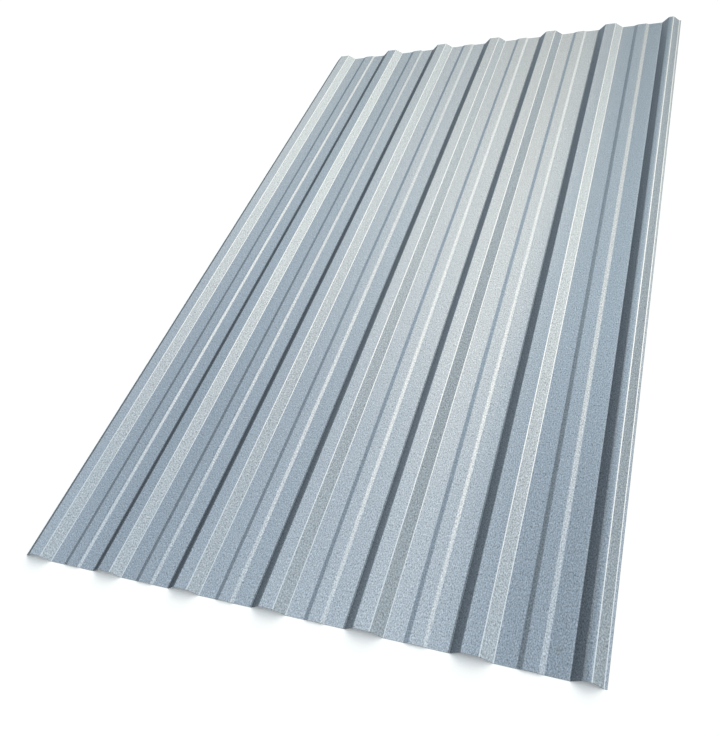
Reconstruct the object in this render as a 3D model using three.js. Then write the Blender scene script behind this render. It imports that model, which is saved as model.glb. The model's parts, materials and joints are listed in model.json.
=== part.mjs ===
// A trapezoidal corrugated sheet, roll-formed from one coil of zinc-coated steel and cut to a stock length.
// It lies on a level floor: X runs across the ribs, Y runs along them, Z is up, all in millimetres.
// The origin is on the floor under the middle of the sheet.
//
// From left to right the profile has full ribs with a shallow stiffener in each pan between them, and ends in
// a narrower rib with a small bearing foot. The full rib on the left edge of the next sheet laps over that one.

import * as THREE from "three";

// ---------------------------------------------------------------- the sheet
const SHEET_LENGTH = 2000;
const STEEL_THICKNESS = 0.5;
const COVER_WIDTH = 1100; // what one laid sheet adds to the roof: first rib centre to last rib centre
const RIB_COUNT = 7; // with the narrow one at the right edge

// ---------------------------------------------------------------- ribs, to the middle of the steel
const RIB_HEIGHT = 15.5;
const CROWN_WIDTH = 30; // the flat top of a rib, from fold to fold
const FLANK_RUN = 20; // how far a rib's side reaches across while it climbs the full height
const BEND_RADIUS = 3; // at the middle of the steel

// ---------------------------------------------------------------- stiffeners, one in each pan
const STIFFENER_HEIGHT = 3;
const STIFFENER_CROWN_WIDTH = 24;
const STIFFENER_FLANK_RUN = 9;
const STIFFENER_BEND_RADIUS = 5;

// ---------------------------------------------------------------- side lap
const LAP_CLEARANCE = 0.3; // left between two lapped sheets
const UNDERLAP_CROWN_WIDTH = 13; // the narrow rib that goes under the next sheet
const UNDERLAP_SHOULDER_RADIUS = 8; // its inner shoulder is bent softly, to slip under
const BEARING_LEG_RUN = 15.5; // its outer leg is steeper than the other flanks
const BEARING_FOOT_WIDTH = 5; // the strip at the leg's end, which stands on the purlin
const OVERLAP_EDGE_RISE = 1; // the left edge stops this far above the pans, to close on the sheet below

// ---------------------------------------------------------------- how finely the bends are faceted
const DEGREES_PER_FACET = 7;

// ---------------------------------------------------------------- worked out from the above
const HALF_THICKNESS = STEEL_THICKNESS / 2;
const PAN_LEVEL = HALF_THICKNESS; // the middle of the steel where it lies on the floor
const RIB_SPACING = COVER_WIDTH / (RIB_COUNT - 1);
const FLANK_SLOPE = Math.atan2(RIB_HEIGHT, FLANK_RUN);
const LAP_OFFSET = STEEL_THICKNESS + LAP_CLEARANCE; // square to the steel, from one lapped sheet to the other

/** One fold line of the profile: a corner of its centre line and the radius it is bent to. */
function fold(across, up, radius) {
  return { corner: new THREE.Vector2(across, up), radius };
}

/** The four folds of a raised trapezoid that stands on the pan, from its left foot to its right foot. */
function raisedFolds({ leftFoot, crownWidth, flankRun, height, radius }) {
  const crownLeft = leftFoot + flankRun;
  const crownRight = crownLeft + crownWidth;
  return [
    fold(leftFoot, PAN_LEVEL, radius),
    fold(crownLeft, PAN_LEVEL + height, radius),
    fold(crownRight, PAN_LEVEL + height, radius),
    fold(crownRight + flankRun, PAN_LEVEL, radius),
  ];
}

/** A full rib, centred at a place across the sheet. */
function ribFolds(centre) {
  return raisedFolds({
    leftFoot: centre - CROWN_WIDTH / 2 - FLANK_RUN,
    crownWidth: CROWN_WIDTH,
    flankRun: FLANK_RUN,
    height: RIB_HEIGHT,
    radius: BEND_RADIUS,
  });
}

/** The shallow stiffener in the middle of a pan. */
function stiffenerFolds(centre) {
  return raisedFolds({
    leftFoot: centre - STIFFENER_CROWN_WIDTH / 2 - STIFFENER_FLANK_RUN,
    crownWidth: STIFFENER_CROWN_WIDTH,
    flankRun: STIFFENER_FLANK_RUN,
    height: STIFFENER_HEIGHT,
    radius: STIFFENER_BEND_RADIUS,
  });
}

/**
 * The left edge: a full rib whose outer flank is cut off just above the pans.
 * It laps over the narrow rib of the sheet beside it.
 */
function overlapFolds(centre) {
  const [leftFoot, ...otherFolds] = ribFolds(centre);
  const inward = OVERLAP_EDGE_RISE / Math.tan(FLANK_SLOPE);
  const edge = fold(leftFoot.corner.x + inward, leftFoot.corner.y + OVERLAP_EDGE_RISE, 0);
  return [edge, ...otherFolds];
}

/**
 * The right edge: a narrow rib that sits inside the next sheet's full rib, with a leg and foot that bear it.
 * Its inner flank and crown lie LAP_OFFSET inside those of a full rib at the same centre.
 */
function underlapFolds(centre) {
  const height = RIB_HEIGHT - LAP_OFFSET;
  const crownLevel = PAN_LEVEL + height;
  const leftFoot = centre - CROWN_WIDTH / 2 - FLANK_RUN + LAP_OFFSET / Math.sin(FLANK_SLOPE);
  const crownLeft = leftFoot + height / Math.tan(FLANK_SLOPE);
  const crownRight = crownLeft + UNDERLAP_CROWN_WIDTH;
  const legEnd = crownRight + BEARING_LEG_RUN;
  return [
    fold(leftFoot, PAN_LEVEL, BEND_RADIUS),
    fold(crownLeft, crownLevel, UNDERLAP_SHOULDER_RADIUS),
    fold(crownRight, crownLevel, BEND_RADIUS),
    fold(legEnd, PAN_LEVEL, BEND_RADIUS),
    fold(legEnd + BEARING_FOOT_WIDTH, PAN_LEVEL, 0),
  ];
}

/** The centre line of the whole profile, from the left edge to the right edge. */
function sheetFolds() {
  const folds = overlapFolds(0);
  for (let pan = 0; pan < RIB_COUNT - 1; pan += 1) {
    const nextRib = (pan + 1) * RIB_SPACING;
    folds.push(...stiffenerFolds(nextRib - RIB_SPACING / 2));
    folds.push(...(pan < RIB_COUNT - 2 ? ribFolds(nextRib) : underlapFolds(nextRib)));
  }
  return folds;
}

/** The upward unit normal of a stretch that runs in this direction. */
function upwardNormal(direction) {
  return new THREE.Vector2(-direction.y, direction.x);
}

/**
 * The stations round one bend, each a point of the centre line with its upward normal.
 * The arc touches both neighbouring stretches. Where they are too short, the radius gives way.
 */
function bendStations(before, { corner, radius }, after) {
  const arriving = corner.clone().sub(before.corner);
  const leaving = after.corner.clone().sub(corner);
  const room = Math.min(arriving.length(), leaving.length()) / 2;
  arriving.normalize();
  leaving.normalize();
  const turn = Math.atan2(arriving.cross(leaving), arriving.dot(leaving));
  const reach = Math.min(radius * Math.tan(Math.abs(turn) / 2), room);
  const trueRadius = reach / Math.tan(Math.abs(turn) / 2);
  const start = corner.clone().addScaledVector(arriving, -reach);
  const toCentre = upwardNormal(arriving).multiplyScalar(Math.sign(turn));
  const centre = start.clone().addScaledVector(toCentre, trueRadius);
  const facets = Math.ceil(THREE.MathUtils.radToDeg(Math.abs(turn)) / DEGREES_PER_FACET);
  const stations = [];
  for (let i = 0; i <= facets; i += 1) {
    const angle = (turn * i) / facets;
    const origin = new THREE.Vector2();
    stations.push({
      point: start.clone().rotateAround(centre, angle),
      normal: upwardNormal(arriving).rotateAround(origin, angle),
    });
  }
  return stations;
}

/** The station at a cut edge, where the profile starts or ends. */
function edgeStation(edge, from, to) {
  const direction = to.corner.clone().sub(from.corner).normalize();
  return { point: edge.corner.clone(), normal: upwardNormal(direction) };
}

/** Every station of the centre line, from edge to edge. */
function profileStations(folds) {
  const stations = [edgeStation(folds[0], folds[0], folds[1])];
  for (let i = 1; i < folds.length - 1; i += 1) {
    stations.push(...bendStations(folds[i - 1], folds[i], folds[i + 1]));
  }
  stations.push(edgeStation(folds.at(-1), folds.at(-2), folds.at(-1)));
  return stations;
}

/** The closed section of the steel: the centre line moved half the thickness to either side. */
function steelSection(stations) {
  const face = (offset) => stations.map(({ point, normal }) => point.clone().addScaledVector(normal, offset));
  return new THREE.Shape([...face(-HALF_THICKNESS), ...face(HALF_THICKNESS).reverse()]);
}

/** The sheet, with its section run out along Y and its middle set over the origin. */
function corrugatedSheet() {
  const section = steelSection(profileStations(sheetFolds()));
  const geometry = new THREE.ExtrudeGeometry(section, { depth: SHEET_LENGTH, bevelEnabled: false });
  geometry.rotateX(Math.PI / 2);
  geometry.computeBoundingBox();
  const middle = geometry.boundingBox.getCenter(new THREE.Vector3());
  geometry.translate(-middle.x, -middle.y, 0);
  const zincCoatedSteel = new THREE.MeshStandardMaterial({ color: 0xa5aeb7, roughness: 0.35, metalness: 1 });
  const sheet = new THREE.Mesh(geometry, zincCoatedSteel);
  sheet.name = "corrugated_sheet";
  return sheet;
}

const part = new THREE.Group();
part.name = "corrugated_metal_sheet";
part.add(corrugatedSheet());

export default part;
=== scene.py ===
"""The looks of a hot-dip zinc-coated corrugated steel sheet, which lies on the pale floor of a plain studio.

The sheet's own frame is kept: X runs across the ribs, Y along them, Z is up, and lengths are in metres.
Sizes that a maker would give in millimetres carry the ending _mm.
"""

import json
import logging
import math
from collections.abc import Mapping, Sequence
from dataclasses import dataclass
from enum import Enum

import bmesh
import bpy
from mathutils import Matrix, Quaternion, Vector

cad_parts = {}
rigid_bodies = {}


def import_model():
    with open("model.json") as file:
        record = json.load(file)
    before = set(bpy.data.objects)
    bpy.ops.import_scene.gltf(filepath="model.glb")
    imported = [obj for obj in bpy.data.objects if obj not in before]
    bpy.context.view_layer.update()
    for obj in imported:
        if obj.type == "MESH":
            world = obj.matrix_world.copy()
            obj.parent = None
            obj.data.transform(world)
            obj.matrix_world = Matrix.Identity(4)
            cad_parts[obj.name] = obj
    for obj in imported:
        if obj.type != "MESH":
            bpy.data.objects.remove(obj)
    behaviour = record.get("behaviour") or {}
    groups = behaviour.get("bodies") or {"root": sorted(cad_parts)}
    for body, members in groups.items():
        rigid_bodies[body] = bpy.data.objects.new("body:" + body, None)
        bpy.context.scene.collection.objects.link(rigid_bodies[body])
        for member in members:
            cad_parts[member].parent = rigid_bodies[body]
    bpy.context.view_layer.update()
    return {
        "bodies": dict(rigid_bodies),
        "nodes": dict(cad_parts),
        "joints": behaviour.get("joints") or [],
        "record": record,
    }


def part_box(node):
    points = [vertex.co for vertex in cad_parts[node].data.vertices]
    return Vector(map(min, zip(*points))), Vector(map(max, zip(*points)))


LOG = logging.getLogger("sheet")
MM = 0.001  # one millimetre in the scene's metres

RIB_PITCH_MM = 1100 / 6
FIRST_RIB_MM = -542.455  # the middle of the rib at the left edge
PAST_LEFT_MM, PAST_RIGHT_MM = -600.0, 600.0  # places beyond the sheet's slit edges
NOISE_DETAIL = 2.0  # octaves

Colour = tuple[float, float, float, float]
Socket = bpy.types.NodeSocket
Value = float | tuple[float, ...] | Socket


def linear(hex_colour: str) -> Colour:
    """Turns an sRGB colour into the linear one that a shader takes.

    Args:
        hex_colour: six hex digits after a hash.

    Returns:
        Linear red, green and blue, and an alpha of 1.
    """
    srgb = [int(hex_colour[i : i + 2], 16) / 255 for i in (1, 3, 5)]
    red, green, blue = (c / 12.92 if c <= 0.04045 else ((c + 0.055) / 1.055) ** 2.4 for c in srgb)
    return red, green, blue, 1.0


def add_node(
    tree: bpy.types.NodeTree,
    kind: str,
    settings: Mapping[str, object] | None = None,
    inputs: Mapping[str | int, Value] | None = None,
) -> bpy.types.Node:
    """Adds one node with its settings, its input values and its links.

    Args:
        tree: the tree that the node joins.
        kind: the node's type name.
        settings: values of the node's own properties.
        inputs: for an input's name or place, its value or the output that feeds it.

    Returns:
        The node.
    """
    node = tree.nodes.new(kind)
    for name, value in (settings or {}).items():
        setattr(node, name, value)
    for name, value in (inputs or {}).items():
        if isinstance(value, Socket):
            tree.links.new(value, node.inputs[name])
        else:
            node.inputs[name].default_value = value
    return node


def new_material(name: str) -> tuple[bpy.types.Material, bpy.types.NodeTree]:
    """Makes a material with an empty node tree.

    Args:
        name: the material's name.

    Returns:
        The material and its tree.
    """
    material = bpy.data.materials.new(name)
    material.use_nodes = True
    material.node_tree.nodes.clear()
    return material, material.node_tree


def set_ramp(ramp: bpy.types.ColorRamp, stations: Sequence[tuple[float, Colour]]) -> None:
    """Sets a colour ramp's stations.

    Args:
        ramp: the ramp of a Color Ramp node.
        stations: places from 0 to 1, in rising order, with their colours.
    """
    while len(ramp.elements) < len(stations):
        ramp.elements.new(1.0)
    for element, (place, colour) in zip(ramp.elements, stations, strict=True):
        element.position = place
        element.color = colour


class Spangle(Enum):
    """How coarse the zinc's crystals are left, by the size in millimetres at which they are drawn.

    The first number is across the sheet and the second along it, because the rollers draw the crystals
    out a little. A minimised spangle is really well under a millimetre. It is drawn coarser, so that it
    still shows.
    """

    MINIMISED = (2.0, 3.4)
    REGULAR = (8.0, 13.0)


@dataclass(frozen=True)
class SlitEdge:
    """The steel that the shears and the slitter leave bare: greyer and duller than the coating beside it."""

    colour: str = "#8D9092"
    roughness: float = 0.55
    reach_mm: float = 0.4  # how far in from an edge the shears smear it


@dataclass(frozen=True)
class RolledLine:
    """Where a line that the forming rollers leave runs along every rib, or every stiffener."""

    from_rib_mm: float  # from the middle of the nearest rib
    half_width_mm: float
    first_mm: float = PAST_LEFT_MM  # the places across the sheet between which there are such lines
    last_mm: float = PAST_RIGHT_MM


@dataclass(frozen=True)
class GlossyBendHighlight:
    """A thin line where the sheet turns towards +X: glossier zinc where the rollers polish it, and a paler
    colour that is a painted highlight.

    A rib's bend is found by the part of its surface normal that points to +X: a flat has 0 there, and a
    rib's flank 0.613. In the first, fourth and fifth pan the stiffener's right side gets a weaker painted
    highlight and gloss too. The crystals' grain is smoothed away there, so the line runs unbroken.
    """

    # the paler colour is a painted highlight on the bends that turn towards +X
    colour: str = "#BFC6CD"
    roughness: float = 0.26
    smear: float = 0.8  # share of the crystals' grain that is lost
    least_turn: float = 0.03
    most_turn: float = 0.60
    rib_reach_mm: float = 42.0  # from a rib's middle to just outside its foot
    stiffeners: tuple[RolledLine, ...] = (
        RolledLine(-74.0, 2.6, last_mm=-360.0),
        RolledLine(-76.4, 2.4, first_mm=0.0, last_mm=400.0),
    )
    stiffener_share: float = 0.26  # of the painted highlight and the gloss that a rib's bend gets


@dataclass(frozen=True)
class BendShadeLines:
    """A thin darker line along the ribs' left feet and shoulders: painted shade that widens the dark left
    flanks.
    """

    # the colour of the painted shade
    colour: str = "#72797F"
    lines: tuple[RolledLine, ...] = (
        RolledLine(-36.5, 1.0, last_mm=450.0),
        RolledLine(-14.2, 1.0, last_mm=100.0),
    )


@dataclass(frozen=True)
class SlowBow:
    """The slow bow that the rollers leave across a thin sheet: it turns the light and hardly moves the steel.

    Each station is a place across the sheet in metres and the lean of the surface there, in degrees
    towards +X.
    """

    stations: tuple[tuple[float, float], ...] = (
        (-0.60, 7.0),
        (-0.36, 1.0),
        (0.10, 3.0),
        (0.28, 0.0),
        (0.44, -16.0),
        (0.51, -16.0),
        (0.60, -10.0),
    )


@dataclass(frozen=True)
class Leaning:
    """A stretch along the ribs or the stiffeners that leans a little more than the section alone would."""

    stretch: RolledLine
    lean_deg: float  # towards +X


@dataclass(frozen=True)
class RollMarks:
    """What the rollers leave uneven from pan to pan.

    A part of each stiffener's right side is rolled so softly that it shades as the flat beside it does:
    the upper part in the first two pans, the lower part in the next three. In the last pan the whole side
    leans a little further to the left. So do the left flank of the fifth rib, and the right flat of the
    third, fourth and last pan, which is a little darker than the left one. The crowns of the first, third
    and fourth rib lean a little to the right.
    """

    leanings: tuple[Leaning, ...] = (
        Leaning(RolledLine(-78.6, 1.6, last_mm=-180.0), -18.4),
        Leaning(RolledLine(-71.5, 1.2, first_mm=-180.0, last_mm=400.0), -18.4),
        Leaning(RolledLine(-53.5, 17.0, first_mm=-180.0, last_mm=0.0), -2.5),
        Leaning(RolledLine(-53.5, 17.0, first_mm=0.0, last_mm=180.0), -1.2),
        Leaning(RolledLine(-75.2, 5.0, first_mm=400.0), -4.0),
        Leaning(RolledLine(-53.5, 17.0, first_mm=400.0), -4.2),
        Leaning(RolledLine(-25.0, 9.0, first_mm=100.0, last_mm=300.0), -2.5),
        Leaning(RolledLine(0.0, 13.0, last_mm=-500.0), 3.4),
        Leaning(RolledLine(0.0, 13.0, first_mm=-250.0, last_mm=100.0), 1.0),
    )


@dataclass(frozen=True)
class SoftShoulder:
    """The narrow rib's inner shoulder, rolled so softly that the light turns across the whole crown."""

    place_mm: float = 546.5  # across the sheet
    reach_mm: float = 9.0
    lean_deg: float = -13.0  # at its middle, towards +X


@dataclass(frozen=True)
class Smudge:
    """One faint handling mark: a broken, olive-brown touch of grime in the last pan, near the front end."""

    colour: str = "#7D7B62"
    place_mm: tuple[float, float] = (502.4, -958.0)  # across and along
    reach_mm: tuple[float, float] = (10.0, 12.0)
    strength: float = 0.25
    speck_mm: float = 5.0  # the specks that it is broken into
    fade: tuple[float, float] = (0.5, 1.3)  # where it starts to fade and is gone, by reach and speck


@dataclass(frozen=True)
class ZincCoating:
    """Hot-dip zinc coating on steel strip, skin-passed and roll-formed.

    It is a soft metal mirror with a bluish cast, and darker where it is seen at a slant. Its crystals
    are small. Each one is domed, lighter or darker at its middle, and faces a little off the plane, which
    gives the eye a fine, crisp, even grain and no drawn pattern.
    """

    colour: str = "#A5AEB7"
    roughness: float = 0.36
    slant_tint: str = "#7C7C7C"
    spangle: Spangle = Spangle.MINIMISED
    crystal_tone: float = 0.64  # change in lightness from a crystal's middle to one width away
    crystal_lean_deg: float = 1.0
    layer_shift: float = 57.3  # in crystals, so that the two layers don't fall on each other
    streak_mm: tuple[float, float] = (2.5, 220.0)  # across and along
    streak_tone: float = 0.02
    streak_range: tuple[float, float] = (0.25, 0.75)  # what the streaks' noise runs between
    edge: SlitEdge = SlitEdge()
    bend: GlossyBendHighlight = GlossyBendHighlight()
    bend_shade: BendShadeLines = BendShadeLines()
    bow: SlowBow = SlowBow()
    roll_marks: RollMarks = RollMarks()
    shoulder: SoftShoulder = SoftShoulder()
    smudge: Smudge = Smudge()

    def material(self, name: str, half_length: float, half_width: float) -> bpy.types.Material:
        """Makes the coating as a node material.

        Args:
            name: the material's name.
            half_length: from the sheet's middle to a sheared end, along Y.
            half_width: from the sheet's middle to a slit edge, along X.

        Returns:
            The material.
        """
        material, tree = new_material(name)
        surface = add_node(tree, "ShaderNodeTexCoord")
        place = surface.outputs["Object"]
        across = add_node(tree, "ShaderNodeSeparateXYZ", inputs={"Vector": place}).outputs["X"]
        from_rib = self.from_rib(tree, across)
        bend_highlights = self.bend_highlight_mask(tree, from_rib, surface.outputs["Normal"])
        stiffeners = self.lines_mask(tree, across, from_rib, self.bend.stiffeners)
        highlight_and_gloss = add_node(
            tree,
            "ShaderNodeMath",
            {"operation": "MULTIPLY_ADD"},
            {0: stiffeners, 1: self.bend.stiffener_share, 2: bend_highlights},
        ).outputs["Value"]
        grain, facing = self.crystals(tree, place, highlight_and_gloss)
        edges = self.edge_mask(tree, place, half_length, half_width)
        tone = self.tone(tree, place, grain)

        # painted highlight: a paler colour on the bends that turn towards +X, and a weaker one on some
        # stiffeners
        highlighted_colour = add_node(
            tree,
            "ShaderNodeMix",
            {"data_type": "RGBA"},
            {"Factor": highlight_and_gloss, "A": linear(self.colour), "B": linear(self.bend.colour)},
        )
        # painted shade: a thin darker line along the ribs' left feet and shoulders
        shaded_colour = add_node(
            tree,
            "ShaderNodeMix",
            {"data_type": "RGBA"},
            {
                "Factor": self.lines_mask(tree, across, from_rib, self.bend_shade.lines),
                "A": highlighted_colour.outputs["Result"],
                "B": linear(self.bend_shade.colour),
            },
        )
        grained = add_node(
            tree, "ShaderNodeVectorMath", {"operation": "SCALE"}, {0: shaded_colour.outputs["Result"], "Scale": tone}
        )
        smudged = add_node(
            tree,
            "ShaderNodeMix",
            {"data_type": "RGBA"},
            {
                "Factor": self.smudge_mask(tree, place),
                "A": grained.outputs["Vector"],
                "B": linear(self.smudge.colour),
            },
        )
        colour = add_node(
            tree,
            "ShaderNodeMix",
            {"data_type": "RGBA"},
            {"Factor": edges, "A": smudged.outputs["Result"], "B": linear(self.edge.colour)},
        )
        gloss = add_node(
            tree,
            "ShaderNodeMix",
            {"data_type": "FLOAT"},
            {"Factor": highlight_and_gloss, "A": self.roughness, "B": self.bend.roughness},
        )
        roughness = add_node(
            tree,
            "ShaderNodeMix",
            {"data_type": "FLOAT"},
            {"Factor": edges, "A": gloss.outputs["Result"], "B": self.edge.roughness},
        )
        shader = add_node(
            tree,
            "ShaderNodeBsdfPrincipled",
            inputs={
                "Base Color": colour.outputs["Result"],
                "Metallic": 1.0,
                "Roughness": roughness.outputs["Result"],
                "Specular Tint": linear(self.slant_tint),
                "Normal": self.leaning_normal(tree, across, from_rib, facing),
            },
        )
        add_node(tree, "ShaderNodeOutputMaterial", inputs={"Surface": shader.outputs["BSDF"]})
        return material

    def crystals(self, tree: bpy.types.NodeTree, place: Socket, highlight_lines: Socket) -> tuple[Socket, Socket]:
        """Draws two layers of small domed crystals, one dark at the middles and one light.

        Args:
            tree: the material's tree.
            place: the sheet's own coordinates.
            highlight_lines: the mask of the lines with the gloss and the painted highlight, where the
                crystals' grain is smoothed away.

        Returns:
            How light the zinc is, 0 on average, and which way each crystal faces.
        """
        across, along = self.spangle.value
        layers = []
        for shift in (0.0, self.layer_shift):
            drawn_out = add_node(
                tree,
                "ShaderNodeMapping",
                inputs={
                    "Vector": place,
                    "Location": (shift, shift, 0.0),
                    "Scale": (1 / (across * MM), 1 / (along * MM), 0.0),
                },
            )
            layers.append(
                add_node(
                    tree,
                    "ShaderNodeTexVoronoi",
                    {"voronoi_dimensions": "2D"},
                    {"Vector": drawn_out.outputs["Vector"], "Scale": 1.0},
                )
            )
        dark, light = layers
        kept = add_node(
            tree, "ShaderNodeMath", {"operation": "MULTIPLY_ADD"}, {0: highlight_lines, 1: -self.bend.smear, 2: 1.0}
        )
        domes = add_node(
            tree,
            "ShaderNodeMath",
            {"operation": "SUBTRACT"},
            {0: dark.outputs["Distance"], 1: light.outputs["Distance"]},
        )
        grain = add_node(
            tree,
            "ShaderNodeMath",
            {"operation": "MULTIPLY"},
            {0: domes.outputs["Value"], 1: kept.outputs["Value"]},
        )
        centred = add_node(
            tree,
            "ShaderNodeVectorMath",
            {"operation": "SUBTRACT"},
            {0: light.outputs["Color"], 1: (0.5, 0.5, 0.5)},
        )
        facing = add_node(
            tree,
            "ShaderNodeVectorMath",
            {"operation": "SCALE"},
            {0: centred.outputs["Vector"], "Scale": kept.outputs["Value"]},
        )
        return grain.outputs["Value"], facing.outputs["Vector"]

    def tone(self, tree: bpy.types.NodeTree, place: Socket, grain: Socket) -> Socket:
        """Works out how light the zinc is, crystal by crystal and streak by streak.

        Args:
            tree: the material's tree.
            place: the sheet's own coordinates.
            grain: how light the crystals are, 0 on average.

        Returns:
            A factor for the colour, 1 on average.
        """
        across, along = self.streak_mm
        drawn_out = add_node(
            tree,
            "ShaderNodeMapping",
            inputs={"Vector": place, "Scale": (1 / (across * MM), 1 / (along * MM), 0.0)},
        )
        streaks = add_node(
            tree,
            "ShaderNodeTexNoise",
            inputs={"Vector": drawn_out.outputs["Vector"], "Scale": 1.0, "Detail": NOISE_DETAIL},
        )
        streak_tone = add_node(
            tree,
            "ShaderNodeMapRange",
            inputs={
                "Value": streaks.outputs["Fac"],
                "From Min": self.streak_range[0],
                "From Max": self.streak_range[1],
                "To Min": 1 - self.streak_tone,
                "To Max": 1 + self.streak_tone,
            },
        )
        tone = add_node(
            tree,
            "ShaderNodeMath",
            {"operation": "MULTIPLY_ADD"},
            {0: grain, 1: self.crystal_tone, 2: streak_tone.outputs["Result"]},
        )
        return tone.outputs["Value"]

    def leaning_normal(
        self, tree: bpy.types.NodeTree, across: Socket, from_rib: Socket, facing: Socket
    ) -> Socket:
        """Leans the surface normal: a little for each crystal, and slowly across the sheet.

        Args:
            tree: the material's tree.
            across: the place across the sheet, in metres.
            from_rib: the distance from the nearest rib's middle.
            facing: which way each crystal faces, between -0.5 and 0.5 on each axis.

        Returns:
            The leaning normal.
        """
        normal = add_node(tree, "ShaderNodeNewGeometry").outputs["Normal"]
        most_facing = 0.5
        lean = add_node(
            tree,
            "ShaderNodeVectorMath",
            {"operation": "SCALE"},
            {0: facing, "Scale": math.tan(math.radians(self.crystal_lean_deg)) / most_facing},
        )
        grained = add_node(
            tree, "ShaderNodeVectorMath", {"operation": "ADD"}, {0: normal, 1: lean.outputs["Vector"]}
        )
        bowed = add_node(
            tree,
            "ShaderNodeVectorMath",
            {"operation": "ADD"},
            {0: grained.outputs["Vector"], 1: self.lean_across(tree, across, from_rib)},
        )
        leaning = add_node(
            tree, "ShaderNodeVectorMath", {"operation": "NORMALIZE"}, {0: bowed.outputs["Vector"]}
        )
        return leaning.outputs["Vector"]

    def lean_across(self, tree: bpy.types.NodeTree, across: Socket, from_rib: Socket) -> Socket:
        """Works out the lean at each place: the slow bow's, the narrow rib's shoulder's and the roll marks'.

        Args:
            tree: the material's tree.
            across: the place across the sheet, in metres.
            from_rib: the distance from the nearest rib's middle.

        Returns:
            What the lean adds to the surface normal.
        """
        places, leans = zip(*self.bow.stations, strict=True)
        slopes = [math.tan(math.radians(lean)) for lean in leans]
        least, most = min(slopes), max(slopes)
        along_ramp = add_node(
            tree,
            "ShaderNodeMapRange",
            inputs={"Value": across, "From Min": places[0], "From Max": places[-1]},
        )
        ramp = add_node(tree, "ShaderNodeValToRGB", inputs={"Fac": along_ramp.outputs["Result"]})
        ramp.color_ramp.interpolation = "CARDINAL"
        width = places[-1] - places[0]
        stations = []
        for spot, slope in zip(places, slopes, strict=True):
            grey = (slope - least) / (most - least)
            stations.append(((spot - places[0]) / width, (grey, grey, grey, 1.0)))
        set_ramp(ramp.color_ramp, stations)
        slope = add_node(
            tree,
            "ShaderNodeMapRange",
            inputs={"Value": ramp.outputs["Color"], "To Min": least, "To Max": most},
        )
        shouldered = add_node(
            tree,
            "ShaderNodeMath",
            {"operation": "ADD"},
            {0: slope.outputs["Result"], 1: self.shoulder_slope(tree, across)},
        )
        summed = shouldered.outputs["Value"]
        for leaning in self.roll_marks.leanings:
            summed = add_node(
                tree,
                "ShaderNodeMath",
                {"operation": "MULTIPLY_ADD"},
                {
                    0: self.lines_mask(tree, across, from_rib, [leaning.stretch]),
                    1: math.sin(math.radians(leaning.lean_deg)),
                    2: summed,
                },
            ).outputs["Value"]
        return add_node(tree, "ShaderNodeCombineXYZ", inputs={"X": summed}).outputs["Vector"]

    def shoulder_slope(self, tree: bpy.types.NodeTree, across: Socket) -> Socket:
        """Works out what the narrow rib's soft shoulder adds to the lean.

        Args:
            tree: the material's tree.
            across: the place across the sheet, in metres.

        Returns:
            The slope that it adds.
        """
        shoulder = self.shoulder
        from_middle = add_node(
            tree, "ShaderNodeMath", {"operation": "SUBTRACT"}, {0: across, 1: shoulder.place_mm * MM}
        )
        away = add_node(
            tree, "ShaderNodeMath", {"operation": "ABSOLUTE"}, {0: from_middle.outputs["Value"]}
        )
        slope = add_node(
            tree,
            "ShaderNodeMapRange",
            {"interpolation_type": "SMOOTHSTEP"},
            {
                "Value": away.outputs["Value"],
                "From Max": shoulder.reach_mm * MM,
                "To Min": math.tan(math.radians(shoulder.lean_deg)),
                "To Max": 0.0,
            },
        )
        return slope.outputs["Result"]

    def from_rib(self, tree: bpy.types.NodeTree, across: Socket) -> Socket:
        """Works out how far across each place is from the middle of the nearest rib.

        Args:
            tree: the material's tree.
            across: the place across the sheet, in metres.

        Returns:
            The distance in millimetres, below 0 on the rib's left side.
        """
        from_first = add_node(
            tree, "ShaderNodeMath", {"operation": "MULTIPLY_ADD"}, {0: across, 1: 1 / MM, 2: -FIRST_RIB_MM}
        )
        from_nearest = add_node(
            tree,
            "ShaderNodeMath",
            {"operation": "WRAP"},
            {0: from_first.outputs["Value"], 1: RIB_PITCH_MM / 2, 2: -RIB_PITCH_MM / 2},
        )
        return from_nearest.outputs["Value"]

    def lines_mask(
        self, tree: bpy.types.NodeTree, across: Socket, from_rib: Socket, lines: Sequence[RolledLine]
    ) -> Socket:
        """Finds some of the lines that the rollers leave.

        Args:
            tree: the material's tree.
            across: the place across the sheet, in metres.
            from_rib: the distance from the nearest rib's middle.
            lines: where those lines run.

        Returns:
            A mask, 1 on those lines and 0 elsewhere.
        """
        mask: float | Socket = 0.0
        for line in lines:
            middle = (line.first_mm + line.last_mm) / 2
            on_line = add_node(
                tree,
                "ShaderNodeMath",
                {"operation": "COMPARE"},
                {0: from_rib, 1: line.from_rib_mm, 2: line.half_width_mm},
            )
            within = add_node(
                tree,
                "ShaderNodeMath",
                {"operation": "COMPARE"},
                {0: across, 1: middle * MM, 2: (line.last_mm - middle) * MM},
            )
            mask = add_node(
                tree,
                "ShaderNodeMath",
                {"operation": "MULTIPLY_ADD"},
                {0: on_line.outputs["Value"], 1: within.outputs["Value"], 2: mask},
            ).outputs["Value"]
        return mask

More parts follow.
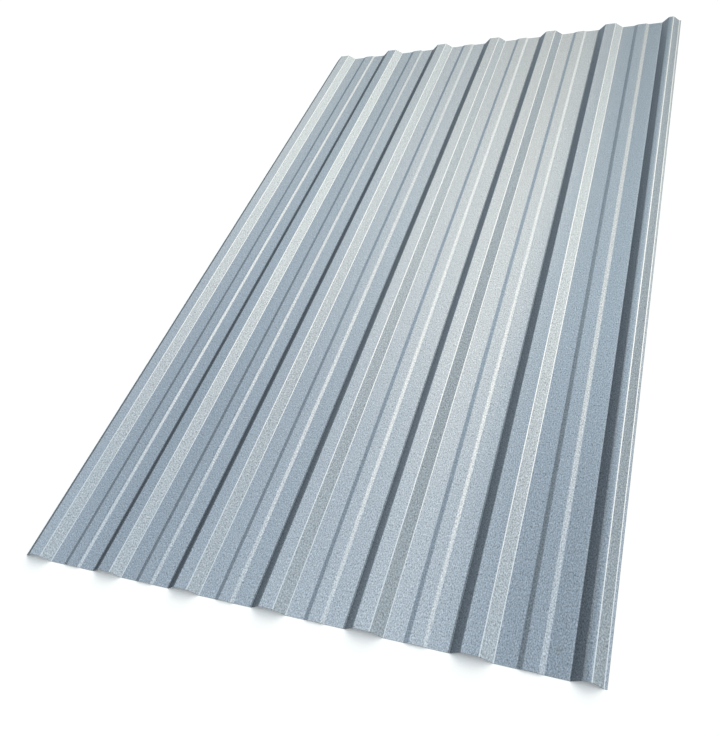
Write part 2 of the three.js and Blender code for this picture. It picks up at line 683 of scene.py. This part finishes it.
    def bend_highlight_mask(self, tree: bpy.types.NodeTree, from_rib: Socket, normal: Socket) -> Socket:
        """Finds the ribs' bends that turn towards +X, which get the gloss and the painted highlight.

        Args:
            tree: the material's tree.
            from_rib: the distance from the nearest rib's middle.
            normal: the sheet's own surface normal.

        Returns:
            A mask, 1 on those bends and 0 elsewhere.
        """
        bend = self.bend
        middle = (bend.least_turn + bend.most_turn) / 2
        facing = add_node(tree, "ShaderNodeSeparateXYZ", inputs={"Vector": normal})
        turning = add_node(
            tree,
            "ShaderNodeMath",
            {"operation": "COMPARE"},
            {0: facing.outputs["X"], 1: middle, 2: bend.most_turn - middle},
        )
        on_rib = add_node(
            tree, "ShaderNodeMath", {"operation": "COMPARE"}, {0: from_rib, 1: 0.0, 2: bend.rib_reach_mm}
        )
        highlighted = add_node(
            tree,
            "ShaderNodeMath",
            {"operation": "MULTIPLY"},
            {0: turning.outputs["Value"], 1: on_rib.outputs["Value"]},
        )
        return highlighted.outputs["Value"]

    def smudge_mask(self, tree: bpy.types.NodeTree, place: Socket) -> Socket:
        """Finds the smudge.

        Args:
            tree: the material's tree.
            place: the sheet's own coordinates.

        Returns:
            A mask, the smudge's strength at its heart and 0 elsewhere.
        """
        smudge = self.smudge
        across, along = smudge.place_mm
        width, length = smudge.reach_mm
        from_heart = add_node(
            tree,
            "ShaderNodeVectorMath",
            {"operation": "SUBTRACT"},
            {0: place, 1: (across * MM, along * MM, 0.0)},
        )
        spread = add_node(
            tree,
            "ShaderNodeVectorMath",
            {"operation": "MULTIPLY"},
            {0: from_heart.outputs["Vector"], 1: (1 / (width * MM), 1 / (length * MM), 0.0)},
        )
        distance = add_node(
            tree, "ShaderNodeVectorMath", {"operation": "LENGTH"}, {0: spread.outputs["Vector"]}
        )
        specks = add_node(
            tree,
            "ShaderNodeTexNoise",
            inputs={"Vector": place, "Scale": 1 / (smudge.speck_mm * MM), "Detail": NOISE_DETAIL},
        )
        broken = add_node(
            tree,
            "ShaderNodeMath",
            {"operation": "ADD"},
            {0: distance.outputs["Value"], 1: specks.outputs["Fac"]},
        )
        mask = add_node(
            tree,
            "ShaderNodeMapRange",
            {"interpolation_type": "SMOOTHSTEP"},
            {
                "Value": broken.outputs["Value"],
                "From Min": smudge.fade[0],
                "From Max": smudge.fade[1],
                "To Min": smudge.strength,
                "To Max": 0.0,
            },
        )
        return mask.outputs["Result"]

    def edge_mask(
        self, tree: bpy.types.NodeTree, place: Socket, half_length: float, half_width: float
    ) -> Socket:
        """Finds the sheared ends and the slit edges.

        Args:
            tree: the material's tree.
            place: the sheet's own coordinates.
            half_length: from the sheet's middle to a sheared end.
            half_width: from the sheet's middle to a slit edge.

        Returns:
            A mask, 1 on the cut steel and 0 elsewhere.
        """
        reach = self.edge.reach_mm * MM
        away = add_node(tree, "ShaderNodeVectorMath", {"operation": "ABSOLUTE"}, {0: place})
        axes = add_node(tree, "ShaderNodeSeparateXYZ", inputs={"Vector": away.outputs["Vector"]})
        slit = add_node(
            tree,
            "ShaderNodeMath",
            {"operation": "GREATER_THAN"},
            {0: axes.outputs["X"], 1: half_width - reach},
        )
        sheared = add_node(
            tree,
            "ShaderNodeMath",
            {"operation": "GREATER_THAN"},
            {0: axes.outputs["Y"], 1: half_length - reach},
        )
        either = add_node(
            tree,
            "ShaderNodeMath",
            {"operation": "MAXIMUM"},
            {0: slit.outputs["Value"], 1: sheared.outputs["Value"]},
        )
        return either.outputs["Value"]


@dataclass
class CorrugatedSheet:
    """The sheet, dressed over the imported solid."""

    node: str
    finish: ZincCoating

    def dress(self, frame: dict) -> bpy.types.Object:
        """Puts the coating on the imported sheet.


        Returns:
            The dressed sheet.
        """
        sheet = frame["nodes"][self.node]
        _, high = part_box(self.node)
        coating = self.finish.material("zinc_coating", half_length=high.y, half_width=high.x)
        for slot in sheet.material_slots:
            slot.material = coating
        return sheet


@dataclass
class Floor:
    """A seamless floor, painted matt white."""

    radius: float = 30.0
    sides: int = 96
    colour: str = "#FBFBFB"
    roughness: float = 0.9

    def build(self) -> bpy.types.Object:
        """Makes the floor, just under the sheet.

        Returns:
            The floor.
        """
        shape = bmesh.new()
        bmesh.ops.create_circle(shape, cap_ends=True, radius=self.radius, segments=self.sides)
        mesh = bpy.data.meshes.new("studio_floor")
        shape.to_mesh(mesh)
        shape.free()
        floor = bpy.data.objects.new("studio_floor", mesh)
        bpy.context.scene.collection.objects.link(floor)
        material, tree = new_material("matt_white_floor")
        shader = add_node(
            tree,
            "ShaderNodeBsdfPrincipled",
            inputs={"Base Color": linear(self.colour), "Roughness": self.roughness},
        )
        add_node(tree, "ShaderNodeOutputMaterial", inputs={"Surface": shader.outputs["BSDF"]})
        mesh.materials.append(material)
        return floor


@dataclass(frozen=True)
class SkyBand:
    """The light from one height over the floor, at the sheet's left side and at its right side."""

    elevation_deg: float
    left: tuple[float, float, float]
    right: tuple[float, float, float]


@dataclass(frozen=True)
class SoftSky:
    """The light that comes from all round: brightest overhead, and dimmer and bluer low down."""

    bands: tuple[SkyBand, ...] = (
        SkyBand(0.0, (0.80, 0.80, 0.80), (0.80, 0.80, 0.80)),
        SkyBand(15.0, (0.51, 0.53, 0.51), (0.74, 0.77, 0.74)),
        SkyBand(25.0, (0.39, 0.44, 0.48), (0.80, 0.85, 0.82)),
        SkyBand(35.0, (0.46, 0.55, 0.64), (1.01, 1.05, 1.03)),
        SkyBand(50.0, (0.68, 0.78, 0.89), (1.21, 1.25, 1.24)),
        SkyBand(65.0, (0.98, 1.07, 1.15), (1.30, 1.35, 1.35)),
        SkyBand(90.0, (1.32, 1.39, 1.41), (1.32, 1.39, 1.41)),
    )

    def build(self) -> bpy.types.World:
        """Makes the world light.

        Returns:
            The world.
        """
        world = bpy.data.worlds.new("soft_sky")
        world.use_nodes = True
        tree = world.node_tree
        tree.nodes.clear()
        outward = add_node(tree, "ShaderNodeTexCoord").outputs["Generated"]
        axes = add_node(tree, "ShaderNodeSeparateXYZ", inputs={"Vector": outward})
        elevation = add_node(tree, "ShaderNodeMath", {"operation": "ARCSINE"}, {0: axes.outputs["Z"]})
        rise = add_node(
            tree,
            "ShaderNodeMapRange",
            inputs={"Value": elevation.outputs["Value"], "From Min": 0.0, "From Max": math.pi / 2},
        )
        left = add_node(tree, "ShaderNodeValToRGB", inputs={"Fac": rise.outputs["Result"]})
        set_ramp(left.color_ramp, [(band.elevation_deg / 90, (*band.left, 1.0)) for band in self.bands])
        right = add_node(tree, "ShaderNodeValToRGB", inputs={"Fac": rise.outputs["Result"]})
        set_ramp(right.color_ramp, [(band.elevation_deg / 90, (*band.right, 1.0)) for band in self.bands])
        rightness = add_node(
            tree, "ShaderNodeMapRange", inputs={"Value": axes.outputs["X"], "From Min": -1.0, "From Max": 1.0}
        )
        colour = add_node(
            tree,
            "ShaderNodeMix",
            {"data_type": "RGBA"},
            {
                "Factor": rightness.outputs["Result"],
                "A": left.outputs["Color"],
                "B": right.outputs["Color"],
            },
        )
        background = add_node(tree, "ShaderNodeBackground", inputs={"Color": colour.outputs["Result"]})
        add_node(tree, "ShaderNodeOutputWorld", inputs={"Surface": background.outputs["Background"]})
        bpy.context.scene.world = world
        return world


@dataclass(frozen=True)
class SoftLamp:
    """One broad soft lamp, far off."""

    name: str
    azimuth_deg: float  # from +Y towards +X
    elevation_deg: float
    spread_deg: float
    light: tuple[float, float, float]

    def build(self) -> bpy.types.Object:
        """Makes the lamp.

        Returns:
            The lamp's object.
        """
        data = bpy.data.lights.new(self.name, "SUN")
        data.angle = math.radians(self.spread_deg)
        data.energy = max(self.light)
        data.color = [part / data.energy for part in self.light]
        lamp = bpy.data.objects.new(self.name, data)
        azimuth, elevation = math.radians(self.azimuth_deg), math.radians(self.elevation_deg)
        flat = math.cos(elevation)
        towards = Vector((flat * math.sin(azimuth), flat * math.cos(azimuth), math.sin(elevation)))
        lamp.rotation_mode = "QUATERNION"
        lamp.rotation_quaternion = towards.to_track_quat("Z", "Y")
        bpy.context.scene.collection.objects.link(lamp)
        return lamp


LAMPS = (
    SoftLamp("key_lamp", 8.8, 38.9, 52.0, (0.779, 0.634, 0.454)),
    SoftLamp("low_left_lamp", -32.0, 22.0, 36.0, (0.150, 0.172, 0.180)),
    SoftLamp("low_right_lamp", 18.0, 22.0, 40.0, (0.109, 0.129, 0.137)),
)


@dataclass(frozen=True)
class Camera:
    """The camera: it stands off the sheet's near right corner and looks down along the ribs."""

    place: tuple[float, float, float] = (0.6443, -1.3604, 1.1446)
    aim: tuple[float, float, float] = (-0.0062, -0.4359, 0.0)
    roll_deg: float = -22.6
    focal_px: float = 726.6
    frame_px: tuple[int, int] = (719, 736)
    sensor_mm: float = 36.0

    def build(self) -> bpy.types.Object:
        """Makes the camera and sets it as the scene's own.

        Returns:
            The camera.
        """
        data = bpy.data.cameras.new("camera")
        data.sensor_width = self.sensor_mm
        data.lens = self.focal_px * self.sensor_mm / max(self.frame_px)
        camera = bpy.data.objects.new("camera", data)
        camera.location = self.place
        backward = (Vector(self.place) - Vector(self.aim)).normalized()
        level = (-backward).to_track_quat("-Z", "Y")
        camera.rotation_mode = "QUATERNION"
        camera.rotation_quaternion = Quaternion(backward, math.radians(self.roll_deg)) @ level
        bpy.context.scene.collection.objects.link(camera)
        bpy.context.scene.camera = camera
        return camera


def main() -> None:
    """Loads the sheet, dresses it and sets the studio round it."""
    logging.basicConfig(level=logging.INFO, format="%(name)s: %(message)s")
    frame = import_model()

    sheet = CorrugatedSheet(node="corrugated_sheet", finish=ZincCoating()).dress(frame)
    LOG.info("dressed %s", sheet.name)
    for part in (Floor(), SoftSky(), *LAMPS, Camera()):
        LOG.info("built %s", part.build().name)
    bpy.context.scene.view_settings.view_transform = "Standard"


if __name__ == "__main__":
    main()
